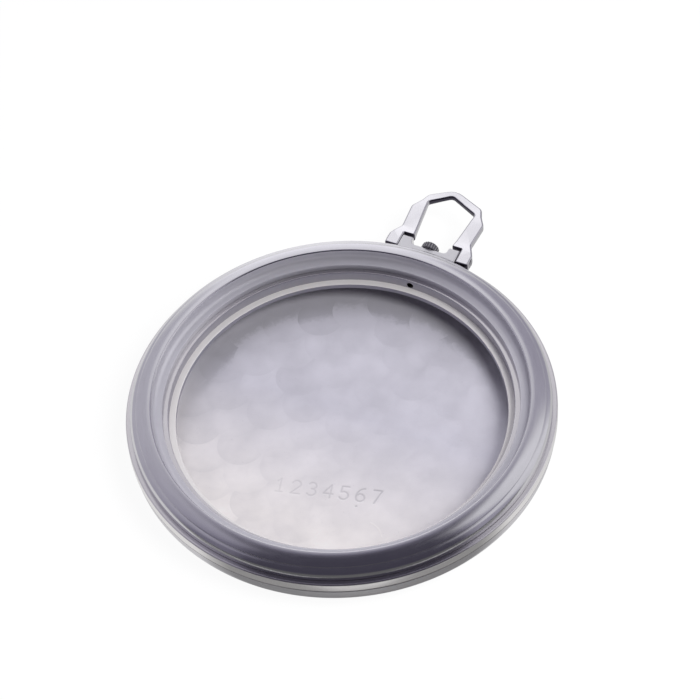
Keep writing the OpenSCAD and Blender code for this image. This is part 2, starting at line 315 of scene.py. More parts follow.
def distance(point, a, b):
    """Distance of a point from the stretch between a and b."""
    along = b - a
    share = max(0, min(1, (point - a).dot(along) / along.length_squared))
    return (point - a - along * share).length


def stamp_patch(mesh):
    """The rectangle of floor that holds the stamped number, as a fine grid. Returns its outline."""
    nx = round((PATCH_HIGH.x - PATCH_LOW.x) / PATCH_STEP)
    ny = round((PATCH_HIGH.y - PATCH_LOW.y) / PATCH_STEP)
    depth = [[0.0] * (ny + 1) for _ in range(nx + 1)]
    for points, radius, deep in strokes():
        for a, b in zip(points, points[1:]):
            low = [math.ceil((min(a[k], b[k]) - radius - PATCH_LOW[k]) / PATCH_STEP) for k in (0, 1)]
            high = [math.floor((max(a[k], b[k]) + radius - PATCH_LOW[k]) / PATCH_STEP) for k in (0, 1)]
            for i in range(max(1, low[0]), min(nx - 1, high[0]) + 1):
                for j in range(max(1, low[1]), min(ny - 1, high[1]) + 1):
                    at = PATCH_LOW + Vector((i, j)) * PATCH_STEP
                    away = min(1, distance(at, a, b) / radius)
                    depth[i][j] = max(depth[i][j], deep * (1 - away ** 2) ** 2, key=abs)
    groove = mesh.verts.layers.float.new("groove")
    turn = Matrix.Rotation(math.radians(NUMBER_TURN), 2)
    grid = []
    for i in range(nx + 1):
        column = []
        for j in range(ny + 1):
            at = NUMBER_AT + turn @ (PATCH_LOW + Vector((i, j)) * PATCH_STEP)
            vertex = mesh.verts.new((at.x, at.y, BACK_T - depth[i][j]))
            vertex[groove] = depth[i][j] / STROKE_DEPTH
            column.append(vertex)
        grid.append(column)
    for i in range(nx):
        for j in range(ny):
            mesh.faces.new([grid[i][j], grid[i + 1][j], grid[i + 1][j + 1], grid[i][j + 1]])
    return ([grid[i][0] for i in range(nx)] + grid[nx][:ny]
            + [grid[i][ny] for i in range(nx, 0, -1)] + [grid[0][j] for j in range(ny, 0, -1)])


def join_flat(mesh, outer, inner):
    """Fills the flat floor between two closed rings of vertices."""
    ring = outer + inner
    edges = [(i, (i + 1) % len(outer)) for i in range(len(outer))]
    edges += [(len(outer) + i, len(outer) + (i + 1) % len(inner)) for i in range(len(inner))]
    flat = [v.co.xy for v in ring]
    _, _, faces, origins, _, _ = delaunay_2d_cdt(flat, edges, [], 1, 1e-7)
    centre = NUMBER_AT + Matrix.Rotation(math.radians(NUMBER_TURN), 2) @ ((PATCH_LOW + PATCH_HIGH) / 2)
    for face in faces:
        corners = [ring[origins[k][0]] for k in face]
        if all(v in set(inner) for v in corners) and mesh.faces.get(corners) is None:
            middle = sum((v.co.xy for v in corners), Vector((0, 0))) / 3
            local = Matrix.Rotation(-math.radians(NUMBER_TURN), 2) @ (middle - centre)
            half = (PATCH_HIGH - PATCH_LOW) / 2
            if abs(local.x) < half.x and abs(local.y) < half.y:
                continue
        if mesh.faces.get(corners) is None:
            mesh.faces.new(corners)


def back_outlines():
    """The back's outline from the centre of its underside round to the floor inside."""
    shoulder = (BACK_R - BACK_SHOULDER, BACK_H - BACK_SHOULDER / 2)
    end = (shoulder[0] + BACK_SHOULDER * cos(SHOULDER_TURN),
           shoulder[1] - BACK_SHOULDER * sin(SHOULDER_TURN))
    dome_r = end[1] / (1 - sin(SHOULDER_TURN))
    dome = (end[0] - dome_r * cos(SHOULDER_TURN), dome_r)
    inner_r = dome_r - BACK_T
    bore = BACK_R - BACK_RIM
    wall = -math.degrees(math.acos((bore - dome[0]) / inner_r))
    bead_z = (BAND_FOOT + NECK_FOOT) / 2
    return rounded(
        [(0, 0, 0), (dome[0] / 2, 0, 0)]
        + arc(dome, dome_r, -90, -SHOULDER_TURN, 2 * ARC_STEPS)
        + arc(shoulder, BACK_SHOULDER, -SHOULDER_TURN, 0)[1:]
        + [(BACK_R, BACK_H, SEAM_ROUND), (bore, BACK_H, EDGE_R),
           (bore, bead_z + 2 * BEAD_H, 0), (bore + BEAD_H, bead_z, 0), (bore, bead_z - 2 * BEAD_H, 0)]
        + arc(dome, inner_r, wall, -90, 2 * ARC_STEPS)
        + [(FLOOR_CUT_R, BACK_T, 0)], closed=False)


def make_back(material):
    mesh = bmesh.new()
    patch = stamp_patch(mesh)
    rings = turn_outline(mesh, supported(back_outlines(), closed=False), closed=False)
    join_flat(mesh, rings[-1], patch)
    bmesh.ops.recalc_face_normals(mesh, faces=mesh.faces)
    piece = finished(mesh, "back_shell", "back", material)
    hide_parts("case_back")
    return piece


def make_middle(material):
    ledge_z = BAND_TOP - POCKET_DEPTH
    neck = BEZEL_R - BEZEL_SKIRT - SNAP_GAP
    lower = BACK_R - BACK_RIM - SNAP_GAP
    upper_bead = (BAND_TOP + NECK_TOP) / 2
    lower_bead = (BAND_FOOT + NECK_FOOT) / 2
    outline = rounded(
        [(POCKET_R, ledge_z, 0), (POCKET_R, BAND_TOP, EDGE_R), (neck - UPPER_NECK_T, BAND_TOP, 0),
         (neck - UPPER_NECK_T, NECK_TOP, EDGE_R / 2), (neck - BEAD_H, NECK_TOP, 0),
         (neck, upper_bead, 0), (neck - BEAD_H, upper_bead - 2 * BEAD_H, 0),
         (neck - BEAD_H, BAND_TOP, 0)]
        + arc((BAND_R - BAND_ROUND, BAND_TOP - BAND_ROUND), BAND_ROUND, 90, 0)
        + [(BAND_R, BAND_FOOT, SEAM_ROUND), (lower - BEAD_H, BAND_FOOT, 0),
           (lower - BEAD_H, lower_bead + 2 * BEAD_H, 0), (lower, lower_bead, 0),
           (lower - BEAD_H, NECK_FOOT, 0), (lower - LOWER_NECK_T, NECK_FOOT, EDGE_R / 2),
           (lower - LOWER_NECK_T, ledge_z - LEDGE_T, 0), (POCKET_R - LEDGE_W, ledge_z - LEDGE_T, 0),
           (POCKET_R - LEDGE_W, ledge_z, EDGE_R)])
    mesh = bmesh.new()
    turn_outline(mesh, supported(outline), closed=True)
    bmesh.ops.recalc_face_normals(mesh, faces=mesh.faces)
    piece = finished(mesh, "middle_ring", "middle", material)
    drill(piece, "Y", POCKET_R - OVER, BAND_R + OVER, STEM_R)
    drill(piece, "Y", foot("pendant_tube").y - FIT_GAP, BAND_R + OVER, SPIGOT_R + FIT_GAP)
    sharpen(piece)
    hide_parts("case_middle")
    return piece


def make_bezel(material):
    crease_r = BEZEL_R - LOWER_RUN
    crease_z = TOP_Z - UPPER_DROP
    crest_r = crease_r - UPPER_RUN
    crest_turn = 2 * math.degrees(math.atan(UPPER_DROP / UPPER_RUN))
    crest = UPPER_RUN / sin(crest_turn)
    lower_round = LOWER_RUN / (1 - cos(LOWER_TURN))
    lower_z = crease_z - CREASE - lower_round * sin(LOWER_TURN)
    foot_z = BEZEL_Z0 + BEZEL_FOOT_T
    aperture = CRYSTAL_R - CRYSTAL_LEDGE_W
    bore = BEZEL_R - BEZEL_SKIRT
    groove = bore - UPPER_NECK_T - 2 * SNAP_GAP
    groove_z = NECK_TOP + SEAM
    bead_z = (BAND_TOP + NECK_TOP) / 2
    outline = rounded(
        [(aperture, BEZEL_Z0 - FOOT_LAP, EDGE_R / 4), (aperture, foot_z, EDGE_R)]
        + arc((CRYSTAL_R - COVE_R, foot_z + COVE_R), COVE_R, -90, 0)
        + arc((CRYSTAL_R + LIP_ROUND, TOP_Z - LIP_ROUND), LIP_ROUND, 180, 90, 2 * EDGE_STEPS)
        + arc((crest_r, TOP_Z - crest), crest, 90, 90 - crest_turn)[:-1]
        + [(crease_r, crease_z, EDGE_R), (crease_r, crease_z - CREASE, EDGE_R / 2)]
        + arc((BEZEL_R - lower_round, lower_z), lower_round, LOWER_TURN, 0)[1:]
        + [(BEZEL_R, BEZEL_Z0, EDGE_R),
           (bore, BEZEL_Z0, EDGE_R / 2), (bore, bead_z - 2 * BEAD_H, 0), (bore + BEAD_H, bead_z, 0),
           (bore, bead_z + 2 * BEAD_H, 0), (bore, groove_z, 0), (groove, groove_z, 0),
           (groove, BEZEL_Z0, EDGE_R / 2)])
    mesh = bmesh.new()
    turn_outline(mesh, supported(outline), closed=True)
    bmesh.ops.recalc_face_normals(mesh, faces=mesh.faces)
    piece = finished(mesh, "bezel_ring", "bezel", material)
    sharpen(piece)
    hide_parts("bezel")
    return piece


def sharpen(piece, degrees=SHARP_ANGLE):
    """Keeps the edges sharp that turn by more than an angle."""
    piece.data.set_sharp_from_angle(angle=math.radians(degrees))


def apply_modifiers(piece):
    graph = bpy.context.evaluated_depsgraph_get()
    data = bpy.data.meshes.new_from_object(piece.evaluated_get(graph))
    piece.modifiers.clear()
    piece.data = data


def drill(piece, axis, start, end, radius):
    """Drills a round hole along the stem's line (Y) or the bow's pivot (X), from start to end."""
    middle = (start + end) / 2
    centre = (0, middle, PIVOT_Z) if axis == "Y" else (middle, PIVOT_Y, PIVOT_Z)
    turn = Matrix.Rotation(math.pi / 2, 4, "X" if axis == "Y" else "Y")
    mesh = bmesh.new()
    bmesh.ops.create_cone(mesh, cap_ends=True, segments=64, radius1=radius, radius2=radius,
                          depth=end - start)
    mesh.transform(Matrix.Translation(centre) @ turn)
    cut_away(piece, mesh)


def cut_away(piece, mesh):
    """Cuts a bmesh in millimetres out of a piece."""
    mesh.transform(Matrix.Scale(MM, 4))
    data = bpy.data.meshes.new("cutter")
    mesh.to_mesh(data)
    mesh.free()
    cutter = bpy.data.objects.new("cutter", data)
    bpy.context.scene.collection.objects.link(cutter)
    cut = piece.modifiers.new("cut", "BOOLEAN")
    cut.object = cutter
    cut.solver = "EXACT"
    apply_modifiers(piece)
    bpy.data.objects.remove(cutter)


def inset(outline, amount):
    """An anticlockwise outline drawn in by an amount."""
    made = []
    for i, at in enumerate(outline):
        before = (at - outline[i - 1]).normalized()
        after = (outline[(i + 1) % len(outline)] - at).normalized()
        first = Vector((-before.y, before.x))
        bisector = (first + Vector((-after.y, after.x))).normalized()
        made.append(at + bisector * amount / max(MITRE_LEAST, bisector.dot(first)))
    return made


def plate(outline, edge, half_at, breaks):
    """A flat piece with rounded edges, from its plan outline and its half thickness along Y.

    Its faces are cut at the breaks, the places along Y where the half thickness changes course.
    """
    mesh = bmesh.new()
    rings = []
    for k in range(EDGE_STEPS + 2):
        turn = 90 * min(k, EDGE_STEPS) / EDGE_STEPS
        draw = edge * (1 - cos(turn)) + (SUPPORT if k > EDGE_STEPS else 0)
        rings.append([mesh.verts.new((p.x, p.y, edge * (sin(turn) - 1))) for p in inset(outline, draw)])
    count = len(outline)
    for low, high in zip(rings, rings[1:]):
        for i in range(count):
            mesh.faces.new([low[i], low[(i + 1) % count], high[(i + 1) % count], high[i]])
    mesh.faces.new(rings[-1])
    for y in breaks:
        bmesh.ops.bisect_plane(mesh, geom=mesh.verts[:] + mesh.edges[:] + mesh.faces[:],
                               plane_co=(0, y, 0), plane_no=(0, 1, 0))
    upper = mesh.verts[:]
    faces = mesh.faces[:]
    rim = [(edge.verts[0], edge.verts[1]) for edge in mesh.edges if edge.is_boundary]
    for vertex in upper:
        half = half_at(vertex.co.y)
        vertex.co.z = half + max(vertex.co.z, -EDGE_SHARE * half)
    under = {vertex: mesh.verts.new((vertex.co.x, vertex.co.y, -vertex.co.z)) for vertex in upper}
    for face in faces:
        mesh.faces.new([under[vertex] for vertex in reversed(face.verts)])
    for a, b in rim:
        mesh.faces.new([a, b, under[b], under[a]])
    bmesh.ops.recalc_face_normals(mesh, faces=mesh.faces)
    mesh.transform(Matrix.Translation((0, 0, PIVOT_Z)))
    return mesh


def weighted(piece):
    """Shades the flat faces of a piece flat, and its rounded edges smooth."""
    sharpen(piece)
    normals = piece.modifiers.new("normals", "WEIGHTED_NORMAL")
    normals.keep_sharp = True
    apply_modifiers(piece)


def both_sides(points, middle=()):
    """Points on the right, those between, and the right's mirror images in turned order."""
    return points + list(middle) + [(-x, y, r) for x, y, r in reversed(points)]


def bow_half(y):
    """Half thickness of the bow along Y: thick feet with round ends, thin roof."""
    across = y - PIVOT_Y
    if across < 0:
        return min(BOW_FOOT_T / 2, math.sqrt(max(THIN_FOOT ** 2, BOW_FOOT_R ** 2 - across ** 2)))
    for (near, half), (far, next_half) in zip(BOW_HALVES, BOW_HALVES[1:]):
        if across <= far:
            return half + (next_half - half) * (across - near) / (far - near)
    return BOW_HALVES[-1][1]


def faces_case(face):
    """Picks the bow's faces that look towards the case, but not those of the screws' holes."""
    off_pivot = math.hypot(face.center.y / MM - PIVOT_Y, face.center.z / MM - PIVOT_Z)
    return face.normal.y < FACES_CASE and off_pivot > HEAD_R + EDGE_R


def make_bow(material, edge, inside):
    """The loop with its two feet. Its outlines are points (x, y, corner radius)."""
    roof = PIVOT_Y + BOW_L
    outer = both_sides([
        (EAR_IN_X + 0.1, LAP_Y, 0.24), (FOOT_X, LAP_Y, 0.06), (FOOT_X, PIVOT_Y - FOOT_END, 0.24),
        (FOOT_OUT_X, PIVOT_Y - FOOT_END, 0.24), (FOOT_OUT_X, PIVOT_Y + 0.55, 0.5),
        (FOOT_OUT_X - 0.25, PIVOT_Y + 1.1, 0.5), (FOOT_OUT_X - 0.85, PIVOT_Y + 2.3, 0.8),
        (FOOT_OUT_X - 0.65, PIVOT_Y + 5.6, 0.8), (FOOT_OUT_X - 1.4, roof - 2.9, 0.9),
        (FOOT_OUT_X - 1.85, roof - 1.75, 0.8)], [(-CROWN_LEAN, roof, 2.0)])
    inner = both_sides([(EAR_IN_X + 0.45, PIVOT_Y + 4.4, 1.6), (EAR_IN_X + 0.7, roof - 2.85, 0.45)],
                       [(-CROWN_LEAN, roof - ROOF_W, 0.6)])
    outline = rounded(outer + inner[::-1])
    mesh = plate(outline, BOW_EDGE, bow_half, [PIVOT_Y] + [PIVOT_Y + at for at, _ in BOW_HALVES[1:-1]])
    piece = finished(mesh, "five_sided_bow", "bow", material)
    for side in (-1, 1):
        low, high = sorted((side * (FOOT_X - OVER / 2), side * (FOOT_OUT_X + OVER / 2)))
        drill(piece, "X", low, high, SHOULDER_R + TURN_GAP)
        low, high = sorted((side * (HEAD_X - TURN_GAP), side * (FOOT_OUT_X + OVER / 2)))
        drill(piece, "X", low, high, HEAD_R + TURN_GAP)
    weighted(piece)
    # Painted shade: the bow's sides and its faces towards the case get darker copies of its steel
    dress(piece, edge, lambda face: abs(face.normal.z) < EDGE_TURN)
    dress(piece, inside, faces_case)
    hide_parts("bow")
    return piece


def bridge_half(y):
    """Half thickness of the bridge along Y, with the ears' round ends."""
    across = max(0, y - PIVOT_Y)
    return min(BRIDGE_T / 2, math.sqrt(max(THIN_EAR ** 2, EAR_R ** 2 - across ** 2)))


def make_bridge(material):
    """The bridge, seated on the band's curve, with its two ears."""
    web_y = BAND_R + WEB_OUT
    seat = [(BAND_R * sin(turn), BAND_R * cos(turn), 0) for turn in range(-8, 9)]
    sides = both_sides([(EAR_X, PIVOT_Y + EAR_R, 0.1), (EAR_IN_X, PIVOT_Y + EAR_R, EAR_ROUND),
                        (EAR_IN_X, web_y, WEB_FILLET)])
    base = math.sqrt(BAND_R ** 2 - EAR_X ** 2)
    outline = rounded([(-EAR_X, base, 0)] + seat + [(EAR_X, base, 0)] + sides)
    ends = [PIVOT_Y + EAR_R * sin(turn) for turn in range(50, 90, 6)]
    mesh = plate(outline, BRIDGE_EDGE, bridge_half, ends)
    piece = finished(mesh, "bridge_with_ears", "middle", material)
    drill(piece, "Y", BAND_R - OVER, PIVOT_Y, SPIGOT_R + FIT_GAP)
    drill(piece, "X", -EAR_X - OVER, EAR_X + OVER, THREAD_R + FIT_GAP)
    weighted(piece)
    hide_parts("pendant_bridge")
    return piece


def make_screw(side, name, material):
    """A shouldered screw along X, with a slot across its head."""
    node = "bow_screw_left" if side < 0 else "bow_screw_right"
    end = max(abs(top(node).x), abs(foot(node).x))
    tip = EAR_IN_X + SCREW_SHORT
    mesh = bmesh.new()
    turn_outline(mesh, supported(rounded([
        (0, tip, 0), (THREAD_R, tip, 0.04), (THREAD_R, EAR_X, 0),
        (SHOULDER_R, EAR_X, 0.02), (SHOULDER_R, HEAD_X, 0), (HEAD_R, HEAD_X, 0.03),
        (HEAD_R, end, 0.06), (0, end, 0)], closed=False), closed=False), closed=False, steps=96)
    mesh.transform(Matrix.Rotation(side * math.pi / 2, 4, "Y"))
    mesh.transform(Matrix.Translation((0, PIVOT_Y, PIVOT_Z)))
    bmesh.ops.recalc_face_normals(mesh, faces=mesh.faces)
    piece = finished(mesh, name, "middle", material)
    slot = bmesh.new()
    bmesh.ops.create_cube(slot, size=1)
    slot.transform(Matrix.Translation((side * end, PIVOT_Y, PIVOT_Z))
                   @ Matrix.Diagonal((2 * SLOT_DEPTH, SLOT_W, 3 * HEAD_R, 1)))
    cut_away(piece, slot)
    sharpen(piece)
    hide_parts(node)
    return piece


def make_tube(material):
    """The tube in the bridge: a plain spigot and a collar with fine grooves along it."""
    low = foot("pendant_tube")
    high = top("pendant_tube")
    collar_y = high.y - COLLAR_L
    mesh = bmesh.new()
    turn_outline(mesh, supported(rounded([
        (STEM_R, low.y, 0.02), (STEM_R, high.y, 0.06), (COLLAR_R, high.y, 0.12),
        (COLLAR_R, collar_y, 0.04), (SPIGOT_R, collar_y, 0), (SPIGOT_R, low.y, 0.03)])), closed=True)
    for vertex in mesh.verts:
        away = vertex.co.xy.length
        if away > COLLAR_R - COLLAR_SKIN:
            turn = math.atan2(vertex.co.y, vertex.co.x)
            dip = GROOVE_DEPTH * abs(math.sin(turn * GROOVES / 2)) ** GROOVE_SHAPE
            vertex.co.xy *= (away - dip) / away
    mesh.transform(Matrix.Translation((0, 0, PIVOT_Z)) @ Matrix.Rotation(math.pi / 2, 4, "X")
                   @ Matrix.Scale(-1, 4, (0, 0, 1)))
    bmesh.ops.recalc_face_normals(mesh, faces=mesh.faces)
    piece = finished(mesh, "tube_with_grooved_collar", "middle", material)
    sharpen(piece, COLLAR_SHARP_ANGLE)
    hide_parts("pendant_tube")
    return piece


def in_groove(face):
    """Picks the faces in the grooves of the tube's collar."""
    away = math.hypot(face.center.x / MM, face.center.z / MM - PIVOT_Z)
    return 0.5 * GROOVE_DEPTH < COLLAR_R - away < 2 * GROOVE_DEPTH


def put(tree, kind, sockets=None, **settings):
    """Adds a shader node. A socket's value is a number, a vector or another node's output."""
    made = tree.nodes.new(kind)
    for key, value in settings.items():
        setattr(made, key, value)
    for key, value in (sockets or {}).items():
        if isinstance(value, bpy.types.NodeSocket):
            tree.links.new(value, made.inputs[key])
        else:
            made.inputs[key].default_value = value
    return made


def calc(tree, operation, *values, clamp=False):
    return put(tree, "ShaderNodeMath", dict(enumerate(values)), operation=operation,
               use_clamp=clamp).outputs[0]


def vector(tree, operation, *values):
    return put(tree, "ShaderNodeVectorMath", dict(enumerate(values)), operation=operation).outputs[0]


def measure(tree, operation, *values):
    """A vector operation that gives a number."""
    return put(tree, "ShaderNodeVectorMath", dict(enumerate(values)),
               operation=operation).outputs["Value"]


def mix(tree, share, a, b):
    """Mixes two numbers."""
    return put(tree, "ShaderNodeMix", {0: share, 2: a, 3: b}).outputs[0]


def span(tree, value, low, high, to_low=0.0, to_high=1.0):
    """Maps a value from one span to another, and stops at the ends."""
    return put(tree, "ShaderNodeMapRange", {0: value, 1: low, 2: high, 3: to_low, 4: to_high},
               clamp=True).outputs[0]


def noise(tree, at, scale, detail=3.0, roughness=0.55):
    return put(tree, "ShaderNodeTexNoise", {"Vector": at, "Scale": scale, "Detail": detail,
                                            "Roughness": roughness}).outputs["Fac"]


def blend(tree, share, a, b):
    """Mixes two colours, which are outputs or plain colours."""
    made = put(tree, "ShaderNodeMix", data_type="RGBA")
    for socket, value in (("Factor_Float", share), ("A_Color", a), ("B_Color", b)):
        target = next(s for s in made.inputs if s.identifier == socket)
        if isinstance(value, bpy.types.NodeSocket):
            tree.links.new(value, target)
        else:
            target.default_value = value
    return next(s for s in made.outputs if s.identifier == "Result_Color")


def grey(level, tint=(1.0, 1.0, 1.0)):
    return tuple(level * t for t in tint) + (1.0,)


LAVENDER = (0.985, 0.965, 1.05)
WARM = (1.045, 1.0, 0.965)
# How much a fine and a cloudy texture vary the roughness of every steel but the floor's
FINE_ROUGH = 0.10
CLOUD_ROUGH = 0.12
# How much the height of a place shifts the turning marks, so that walls have marks too
WALL_SHIFT = 1.31


def steel(name, roughness, anisotropy, metallic=1.0):
    """A metal material with its shader's plain values set. Returns material, tree and shader."""
    material = bpy.data.materials.new(name)
    material.use_nodes = True
    tree = material.node_tree
    shader = tree.nodes["Principled BSDF"]
    shader.inputs["Metallic"].default_value = metallic
    shader.inputs["Roughness"].default_value = roughness
    shader.inputs["Anisotropic"].default_value = anisotropy
    return material, tree, shader


def object_place(tree):
    """Place on the object, in millimetres."""
    where = put(tree, "ShaderNodeTexCoord").outputs["Object"]
    return put(tree, "ShaderNodeVectorMath", {0: where, "Scale": 1 / MM}, operation="SCALE").outputs[0]


def along_turning(tree, place, around, across):
    """Coordinates that stretch a texture round the case's axis, as turning marks run."""
    flat = vector(tree, "MULTIPLY", place, (1, 1, 0))
    radius = measure(tree, "LENGTH", flat)
    unit = vector(tree, "NORMALIZE", flat)
    ring = put(tree, "ShaderNodeVectorMath", {0: unit, "Scale": around}, operation="SCALE").outputs[0]
    height = put(tree, "ShaderNodeSeparateXYZ", {0: place}).outputs["Z"]
    shifted = calc(tree, "ADD", radius, calc(tree, "MULTIPLY", height, WALL_SHIFT))
    run = calc(tree, "MULTIPLY", shifted, across)
    lift = put(tree, "ShaderNodeCombineXYZ", {2: run}).outputs[0]
    return vector(tree, "ADD", ring, lift)


def roughen(tree, shader, roughness, fine, cloud):
    """Varies the roughness about its plain value, by a fine and a cloudy texture."""
    varied = calc(tree, "ADD", calc(tree, "MULTIPLY", fine, FINE_ROUGH),
                  calc(tree, "MULTIPLY", cloud, CLOUD_ROUGH))
    least = roughness - (FINE_ROUGH + CLOUD_ROUGH) / 2
    tree.links.new(calc(tree, "ADD", varied, least), shader.inputs["Roughness"])


def bump_by(tree, shader, height, strength, depth):
    bump = put(tree, "ShaderNodeBump", {"Height": height, "Strength": strength,
                                        "Distance": depth * MM})
    tree.links.new(bump.outputs[0], shader.inputs["Normal"])


def turned_steel(name, colour, roughness, anisotropy, marks, wear, metallic=1.0):
    """Steel with turning marks round the axis, blotches and light wear scratches."""
    material, tree, shader = steel(name, roughness, anisotropy, metallic)
    place = object_place(tree)
    fine = noise(tree, along_turning(tree, place, 14, 9.0), 1.0, 4)
    broad = noise(tree, along_turning(tree, place, 3, 1.2), 1.0, 2)
    blotch = noise(tree, place, 0.35, 4, 0.6)
    stretched = vector(tree, "MULTIPLY", place, (1.0, 5.0, 5.0))
    scratch = span(tree, noise(tree, stretched, 1.3, 2), 0.66, 0.72)
    tone = calc(tree, "ADD", calc(tree, "MULTIPLY", fine, marks), calc(tree, "MULTIPLY", broad, marks))
    shade = blend(tree, span(tree, tone, 0.5 * marks, 1.5 * marks),
                  grey(1 - marks, colour), grey(1 + marks, colour))
    worn = blend(tree, calc(tree, "MULTIPLY", blotch, wear), shade, grey(0.8, colour))
    marked = blend(tree, calc(tree, "MULTIPLY", scratch, wear), worn, grey(1.15, colour))
    tree.links.new(marked, shader.inputs["Base Color"])
    roughen(tree, shader, roughness, fine, blotch)
    tangent = put(tree, "ShaderNodeTangent", direction_type="RADIAL", axis="Z").outputs[0]
    tree.links.new(tangent, shader.inputs["Tangent"])
    shader.inputs["Anisotropic Rotation"].default_value = 0.25
    bump_by(tree, shader, fine, 0.25, 0.004)
    return material


# Round polishing spots on the floor inside
SPOT_TURN = 36.0
SPOT_R = 2.7
SPOT_ROW = 4.0
SPOT_STEP = 4.15
SPOT_U = 0.75
SPOT_V = 0.4
# Painted light and wear: the floor is lighter towards the number, and its spots sharper towards the
# left
LIT_FROM = 2.0
LIT_TO = -14.0
SHARP_FROM = 10.0
SHARP_TO = -12.0


def spot_row(tree, u, v, row):
    """Where a point lies in a row of spots: offset from the spot, if covered, and the spot's column."""
    dv = calc(tree, "SUBTRACT", v, calc(tree, "MULTIPLY", row, SPOT_ROW))
    squared = calc(tree, "SUBTRACT", SPOT_R ** 2, calc(tree, "MULTIPLY", dv, dv))
    reach = calc(tree, "SQRT", calc(tree, "MAXIMUM", 0.0001, squared))
    column = calc(tree, "FLOOR", calc(tree, "DIVIDE", calc(tree, "ADD", u, reach), SPOT_STEP))
    du = calc(tree, "SUBTRACT", u, calc(tree, "MULTIPLY", column, SPOT_STEP))
    return du, dv, calc(tree, "LESS_THAN", du, reach), column


def spots(tree, place):
    """The topmost polishing spot at each point: offset from its centre, and a random number."""
    turned = put(tree, "ShaderNodeVectorRotate", {"Vector": place, "Angle": -math.radians(SPOT_TURN)},
                 rotation_type="Z_AXIS").outputs[0]
    axes = put(tree, "ShaderNodeSeparateXYZ", {0: turned})
    u = calc(tree, "SUBTRACT", axes.outputs["X"], SPOT_U)
    v = calc(tree, "SUBTRACT", axes.outputs["Y"], SPOT_V)
    row = calc(tree, "FLOOR", calc(tree, "DIVIDE", calc(tree, "ADD", v, SPOT_R), SPOT_ROW))
    below = calc(tree, "SUBTRACT", row, 1.0)
    top_du, top_dv, covered, top_column = spot_row(tree, u, v, row)
    low_du, low_dv, _, low_column = spot_row(tree, u, v, below)
    picked = []
    for high, low in ((top_du, low_du), (top_dv, low_dv), (top_column, low_column), (row, below)):
        picked.append(mix(tree, covered, low, high))
    offset = put(tree, "ShaderNodeCombineXYZ", {0: picked[0], 1: picked[1]}).outputs[0]
    radial = put(tree, "ShaderNodeVectorRotate", {"Vector": offset, "Angle": math.radians(SPOT_TURN)},
                 rotation_type="Z_AXIS").outputs[0]
    which = put(tree, "ShaderNodeCombineXYZ", {0: picked[2], 1: picked[3]}).outputs[0]
    chance = put(tree, "ShaderNodeTexWhiteNoise", {"Vector": which}).outputs["Value"]
    return radial, chance


# Painted shade along the floor's edge on the pendant's side, under the wall, in whole spots
EDGE_SHADE_RADII = (14.8, 18.4)
EDGE_SHADE_TOWARDS = (-0.5, 1.0, 0.0)
EDGE_SHADE_FROM = 6.0
EDGE_SHADE_FULL = 13.0
# How much a spot's chance and the mottling add to it, and the sums where it starts and is full
EDGE_SHADE_CHANCE = 0.45
EDGE_SHADE_MOTTLE = 0.5
EDGE_SHADE_SUMS = (1.0, 1.25)
# The floor's grey where it is painted in shade and where it is painted lit
FLOOR_SHADED = 0.78
FLOOR_LIT = 1.0
# What marks the floor, and the painted shade at its edge: how strongly, and to what level of grey
CLOUD_TONE = (0.16, 0.45)
SPOT_TONE = (0.16, 0.50)
SPOT_RIM_TONE = (0.08, 0.48)
SPECK_TONE = (0.2, 0.40)
EDGE_SHADE_TONE = (0.45, 0.38)
GROOVE_TONE = (0.45, 0.36)
BURR_TONE = (-2.0, 1.0)
# The floor's plain roughness, and what clouds and spots add to it
FLOOR_ROUGH = 0.36
FLOOR_CLOUD_ROUGH = 0.16
SPOT_ROUGH = 0.06


def painted_edge_shade(tree, place, chance):
    """How much painted shade the floor gets: more towards its edge, and different from spot to spot."""
    along = measure(tree, "DOT_PRODUCT", place, EDGE_SHADE_TOWARDS)
    away = measure(tree, "LENGTH", vector(tree, "MULTIPLY", place, (1, 1, 0)))
    mottle = noise(tree, place, 1.2, 4, 0.7)
    edge = calc(tree, "ADD", span(tree, away, *EDGE_SHADE_RADII),
                calc(tree, "MULTIPLY", chance, EDGE_SHADE_CHANCE))
    patchy = calc(tree, "ADD", edge, calc(tree, "MULTIPLY", mottle, EDGE_SHADE_MOTTLE))
    return calc(tree, "MULTIPLY", span(tree, patchy, *EDGE_SHADE_SUMS),
                span(tree, along, EDGE_SHADE_FROM, EDGE_SHADE_FULL))


def stain(tree, colour, share, tone, tint=LAVENDER):
    """Marks a colour with a tone of grey where a share says so."""
    strength, level = tone
    amount = calc(tree, "MULTIPLY", share, strength, clamp=True)
    return blend(tree, amount, colour, grey(level, tint))


